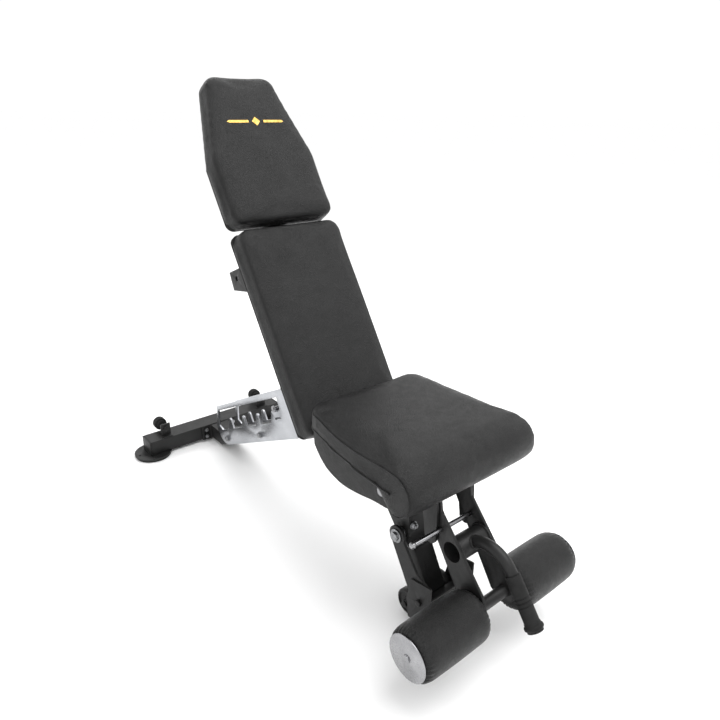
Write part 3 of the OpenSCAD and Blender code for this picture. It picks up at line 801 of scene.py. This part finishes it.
def make_roller(side, sign):
    """A foam roller in a vinyl sleeve, gathered in pleats round both ends."""
    node = "roller_foam_" + side
    low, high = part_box(node)
    cap_low, cap_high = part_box("roller_end_cap_" + side)
    axis = (low + high) / 2
    radius = (high.z - low.z) / 2
    cap_r = (cap_high.z - cap_low.z) / 2
    inner, outer = (low.x, high.x) if sign > 0 else (high.x, low.x)
    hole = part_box("roller_axle")[1].z - axis.z
    body = radius - 1.5 * MM
    ends = [
        (inner, 3.0, radius * 0.36), (inner, 0.6, radius * 0.5), (inner, 0.6, radius * 0.68),
        (inner, 3.5, radius * 0.82), (inner, 9.0, radius * 0.92), (inner, 16.0, body - 0.6 * MM),
    ]
    length = abs(outer - inner)
    line = [(distance * MM, r) for _, distance, r in ends]
    for i in range(1, 24):
        t = i / 24
        line.append((16 * MM + (length - 32 * MM) * t, body + 0.8 * MM * math.sin(math.pi * t)))
    line += [
        (length - 16 * MM, body - 0.6 * MM),
        (length - 8 * MM, radius * 0.93),
        (length - 3 * MM, radius * 0.865),
        (length - 0.8 * MM, cap_r - 1.5 * MM),
        (length - 1.2 * MM, cap_r - 7 * MM),
        (length - 3 * MM, hole + 16 * MM),
    ]
    around = 96
    verts, faces = [], []
    for along, r in line:
        for k in range(around):
            a = 2 * math.pi * k / around
            verts.append((inner + sign * along, axis.y + math.cos(a) * r, axis.z + math.sin(a) * r))
    n = len(line)
    for i in range(n - 1):
        for k in range(around):
            a, b = i * around + k, i * around + (k + 1) % around
            faces.append((a, b, b + around, a + around))
    faces.append(tuple(range(around)))
    faces.append(tuple(range((n - 1) * around, n * around)))
    sleeve = mesh_object(
        "roller_sleeve_" + side, verts, faces, MATERIALS["black_vinyl"], side + "_roller",
    )
    outward(sleeve)

    def end_distance(co):
        return min(abs(co.x - inner), abs(co.x - outer))

    inflate(sleeve, lambda co: 1.0 if end_distance(co) < 5 * MM else 0.0, 2.5 * MM)
    subdivided(sleeve)
    pleats = 34
    for v in sleeve.data.vertices:
        out = Vector((0, v.co.y - axis.y, v.co.z - axis.z))
        r = out.length
        if r < 1e-6:
            continue
        angle = math.atan2(out.z, out.y)
        near = math.exp(-(end_distance(v.co) / (9 * MM)) ** 1.4)
        rim = smooth_step((r - radius * 0.55) / (radius * 0.25))
        wander = noise.noise(Vector((math.cos(angle) * 2.1, math.sin(angle) * 2.1, inner * 40))) * 2.4
        fold = math.cos(angle * pleats + wander)
        size = 0.75 + 0.5 * noise.noise(Vector((math.cos(angle) * 5, math.sin(angle) * 5, 3 + inner * 10)))
        lift = (fold if fold > 0 else 1.6 * fold) * 1.7 * MM * near * rim * size
        push = out.normalized() * lift
        tip = (end_distance(v.co) < 4 * MM) * lift * 0.5
        centre_x = (inner + outer) / 2
        v.co += push + Vector((math.copysign(tip, v.co.x - centre_x) if tip else 0, 0, 0))
    sleeve.data.materials.clear()
    sleeve.data.materials.append(MATERIALS["black_vinyl"])
    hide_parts(node)


make_roller("left", 1)
make_roller("right", -1)


# ---------------------------------------------------------------- seams, welds and the badge

def weld_ring(name, centre, axis, radius, body, bead=2.2 * MM, arc=(0, 2 * math.pi), squash=None):
    """A rippled weld bead round a joint."""
    axis = Vector(axis).normalized()
    u = axis.orthogonal().normalized()
    v = axis.cross(u)
    full = arc[1] - arc[0] > 6.28
    count = max(24, int(radius * (arc[1] - arc[0]) / (1.1 * MM)))
    pts = []
    for i in range(count + (0 if full else 1)):
        a = arc[0] + (arc[1] - arc[0]) * i / count
        p = centre + (u * math.cos(a) + v * math.sin(a)) * radius
        pts.append(squash(p) if squash else p)
    tube_along(
        name, pts, bead, MATERIALS["frame_black"], body, closed=full,
        ripple=lambda i: 0.86 + 0.2 * abs(math.sin(i * 0.8)),
    )


arm_low, arm_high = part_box("arm_cross_tube")
cross = (arm_low + arm_high) / 2
cross_r = (arm_high.z - arm_low.z) / 2
for sign, side in ((1, "left"), (-1, "right")):
    weld_ring(
        "weld_cross_tube_" + side, Vector((arm_high.x * sign - sign * 1.2 * MM, cross.y, cross.z)),
        (1, 0, 0), cross_r + 0.3 * MM, "arm",
    )
handle_low, handle_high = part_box("handle_tube")
handle_r = (handle_high.x - handle_low.x) / 2
way = Vector((0, -math.sin(math.radians(38)) * 0.2 - 0.75, 0.62)).normalized()


def on_cross(p):
    """Drops a point onto the cross tube."""
    out = Vector((0, p.y - cross.y, p.z - cross.z))
    return Vector((p.x, cross.y, cross.z)) + out.normalized() * (cross_r + 0.5 * MM)


weld_ring(
    "weld_handle", cross + way * cross_r, way, handle_r + 1 * MM, "arm", bead=2.4 * MM, squash=on_cross,
)

head_low, head_high = local_box("headrest_cushion", BACK)
head_tree = surface(head_cushion)


def badge_piece(name, outline):
    """A thin foil patch pressed on the headrest's face; outline is in the backrest's frame."""
    face = head_high.z + 20 * MM
    inside = BACK.to_3x3() @ Vector((0, 0, -1))
    top, n = [], len(outline)
    for x, y in outline:
        hit = head_tree.ray_cast(BACK @ Vector((x, y, face)), inside)
        top.append(hit[0] - inside * 0.5 * MM)
    bottom = [p + inside * 1.2 * MM for p in top]
    verts = top + bottom
    faces = [tuple(range(n)), tuple(range(2 * n - 1, n - 1, -1))]
    faces += [(k + n, (k + 1) % n + n, (k + 1) % n, k) for k in range(n)]
    obj = mesh_object(name, verts, faces, GOLD, "backrest")
    outward(obj)
    obj.data.polygons.foreach_set("use_smooth", [False] * len(obj.data.polygons))
    return obj


badge_y = head_low.y + (head_high.y - head_low.y) * 0.66
diamond = 11 * MM
badge_piece("badge_diamond", [
    (0, badge_y - diamond), (diamond, badge_y), (0, badge_y + diamond), (-diamond, badge_y),
])
for sign, side in ((1, "left"), (-1, "right")):
    near, far, half = 20 * MM, 76 * MM, 3.2 * MM
    bar = [
        (near, badge_y - half), (far - 6 * MM, badge_y - half), (far, badge_y),
        (far - 6 * MM, badge_y + half), (near, badge_y + half),
    ]
    if sign < 0:
        bar = [(-x, y) for x, y in reversed(bar)]
    badge_piece("badge_bar_" + side, bar)


def edge_half(node, y):
    """Half width of a board at a height up the backrest."""
    inverse = BACK.inverted()
    local = [inverse @ v.co for v in nodes[node].data.vertices]
    pts = sorted({(round(p.y, 4), round(abs(p.x), 4)) for p in local})
    lower = [p for p in pts if p[0] <= y + 1e-6][-1]
    upper = [p for p in pts if p[0] >= y - 1e-6][0]
    if upper[0] - lower[0] < 1e-6:
        return max(lower[1], upper[1])
    return lower[1] + (upper[1] - lower[1]) * (y - lower[0]) / (upper[0] - lower[0])


def staples(prefix, node, z_side):
    """Wire staples round the back of a board, holding the vinyl's hem."""
    low, high = local_box(node, BACK)
    bottom = low.z
    spots = []
    step = 46 * MM
    for edge in ("x", "y"):
        span = (low.y, high.y) if edge == "x" else (low.x, high.x)
        count = int((span[1] - span[0] - 50 * MM) / step)
        for i in range(count + 1):
            at = span[0] + 25 * MM + (span[1] - span[0] - 50 * MM) * i / count
            spots.append((edge, at))
    verts, faces = [], []
    for edge, at in spots:
        for end in (-1, 1):
            if edge == "x":
                half = edge_half(node, at) - 16 * MM
                centre = Vector((end * half, at, bottom))
                along = Vector((0, 1, 0))
            else:
                y = low.y + 16 * MM if end < 0 else high.y - 16 * MM
                if abs(at) > edge_half(node, y) - 24 * MM:
                    continue
                centre = Vector((at, y, bottom))
                along = Vector((1, 0, 0))
            across = Vector((-along.y, along.x, 0))
            base = len(verts)
            for a in (-5.5, 5.5):
                for b in (-0.6, 0.6):
                    for c in (-13.6, -12.6):
                        depth = Vector((0, 0, (c + z_side) * MM))
                        verts.append(BACK @ (centre + along * a * MM + across * b * MM + depth))
            for quad in ((0, 1, 3, 2), (4, 6, 7, 5), (0, 4, 5, 1), (2, 3, 7, 6), (0, 2, 6, 4), (1, 5, 7, 3)):
                faces.append(tuple(base + q for q in quad))
    obj = mesh_object(prefix + "_staples", verts, faces, MATERIALS["bolt_steel"], "backrest")
    outward(obj)


staples("backrest", "backrest_board", 0)
staples("headrest", "headrest_board", 0)


# ---------------------------------------------------------------- stage, light and camera

def bsdf_material(name, color, rough):
    m = Shader(name)
    tint = m.ramp(m.noise(2.5, 3), (0.3, color * 0.985), (0.7, color))
    m.set(Roughness=rough)
    return m.finish(tint)


def make_floor():
    verts, faces = [], []
    size, steps = 60.0, 24
    for i in range(steps + 1):
        for k in range(steps + 1):
            verts.append(((i / steps - 0.5) * 2 * size, (k / steps - 0.5) * 2 * size, 0))
    for i in range(steps):
        for k in range(steps):
            a = i * (steps + 1) + k
            faces.append((a, a + steps + 1, a + steps + 2, a + 1))
    mesh = bpy.data.meshes.new("studio_floor")
    mesh.from_pydata(verts, [], faces)
    floor = bpy.data.objects.new("studio_floor", mesh)
    scene.collection.objects.link(floor)
    mesh.materials.append(bsdf_material("floor_paper", 0.97, 0.9))
    floor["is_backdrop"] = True


def area_light(name, place, target, size, power):
    data = bpy.data.lights.new(name, "AREA")
    data.shape = "RECTANGLE"
    data.size, data.size_y = size
    data.energy = power
    light = bpy.data.objects.new(name, data)
    light.location = place
    light.rotation_euler = (Vector(target) - Vector(place)).to_track_quat("-Z", "Y").to_euler()
    scene.collection.objects.link(light)


make_floor()
centre = (cad_low + cad_high) / 2
area_light("key", (0.7, -0.9, 3.1), centre, (2.8, 2.4), 80)
area_light("fill", (-2.4, -2.2, 1.7), centre, (1.8, 1.4), 6)
area_light("rim", (0.4, 2.6, 2.9), centre, (2.4, 1.2), 30)
world = bpy.data.worlds.new("studio")
world.use_nodes = True
world.node_tree.nodes["Background"].inputs["Color"].default_value = (1, 1, 1, 1)
world.node_tree.nodes["Background"].inputs["Strength"].default_value = 1.04
scene.world = world
scene.view_settings.view_transform = "Standard"

VIEW_BEARING = math.radians(39.9)
VIEW_DROP = math.radians(22.3)
VIEW_ROLL = math.radians(0.93)
EYE = Vector((-0.812, -1.106, 1.0235))
ahead = Vector((
    math.sin(VIEW_BEARING) * math.cos(VIEW_DROP),
    math.cos(VIEW_BEARING) * math.cos(VIEW_DROP),
    -math.sin(VIEW_DROP),
))
level = Vector((math.cos(VIEW_BEARING), -math.sin(VIEW_BEARING), 0))
above = level.cross(ahead)
right = level * math.cos(VIEW_ROLL) + above * math.sin(VIEW_ROLL)
up = above * math.cos(VIEW_ROLL) - level * math.sin(VIEW_ROLL)
camera_data = bpy.data.cameras.new("camera")
camera_data.sensor_width = 36
camera_data.lens = 31.33
camera = bpy.data.objects.new("camera", camera_data)
camera.matrix_world = Matrix.Translation(EYE) @ Matrix((right, up, -ahead)).transposed().to_4x4()
scene.collection.objects.link(camera)
scene.camera = camera

low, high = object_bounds()
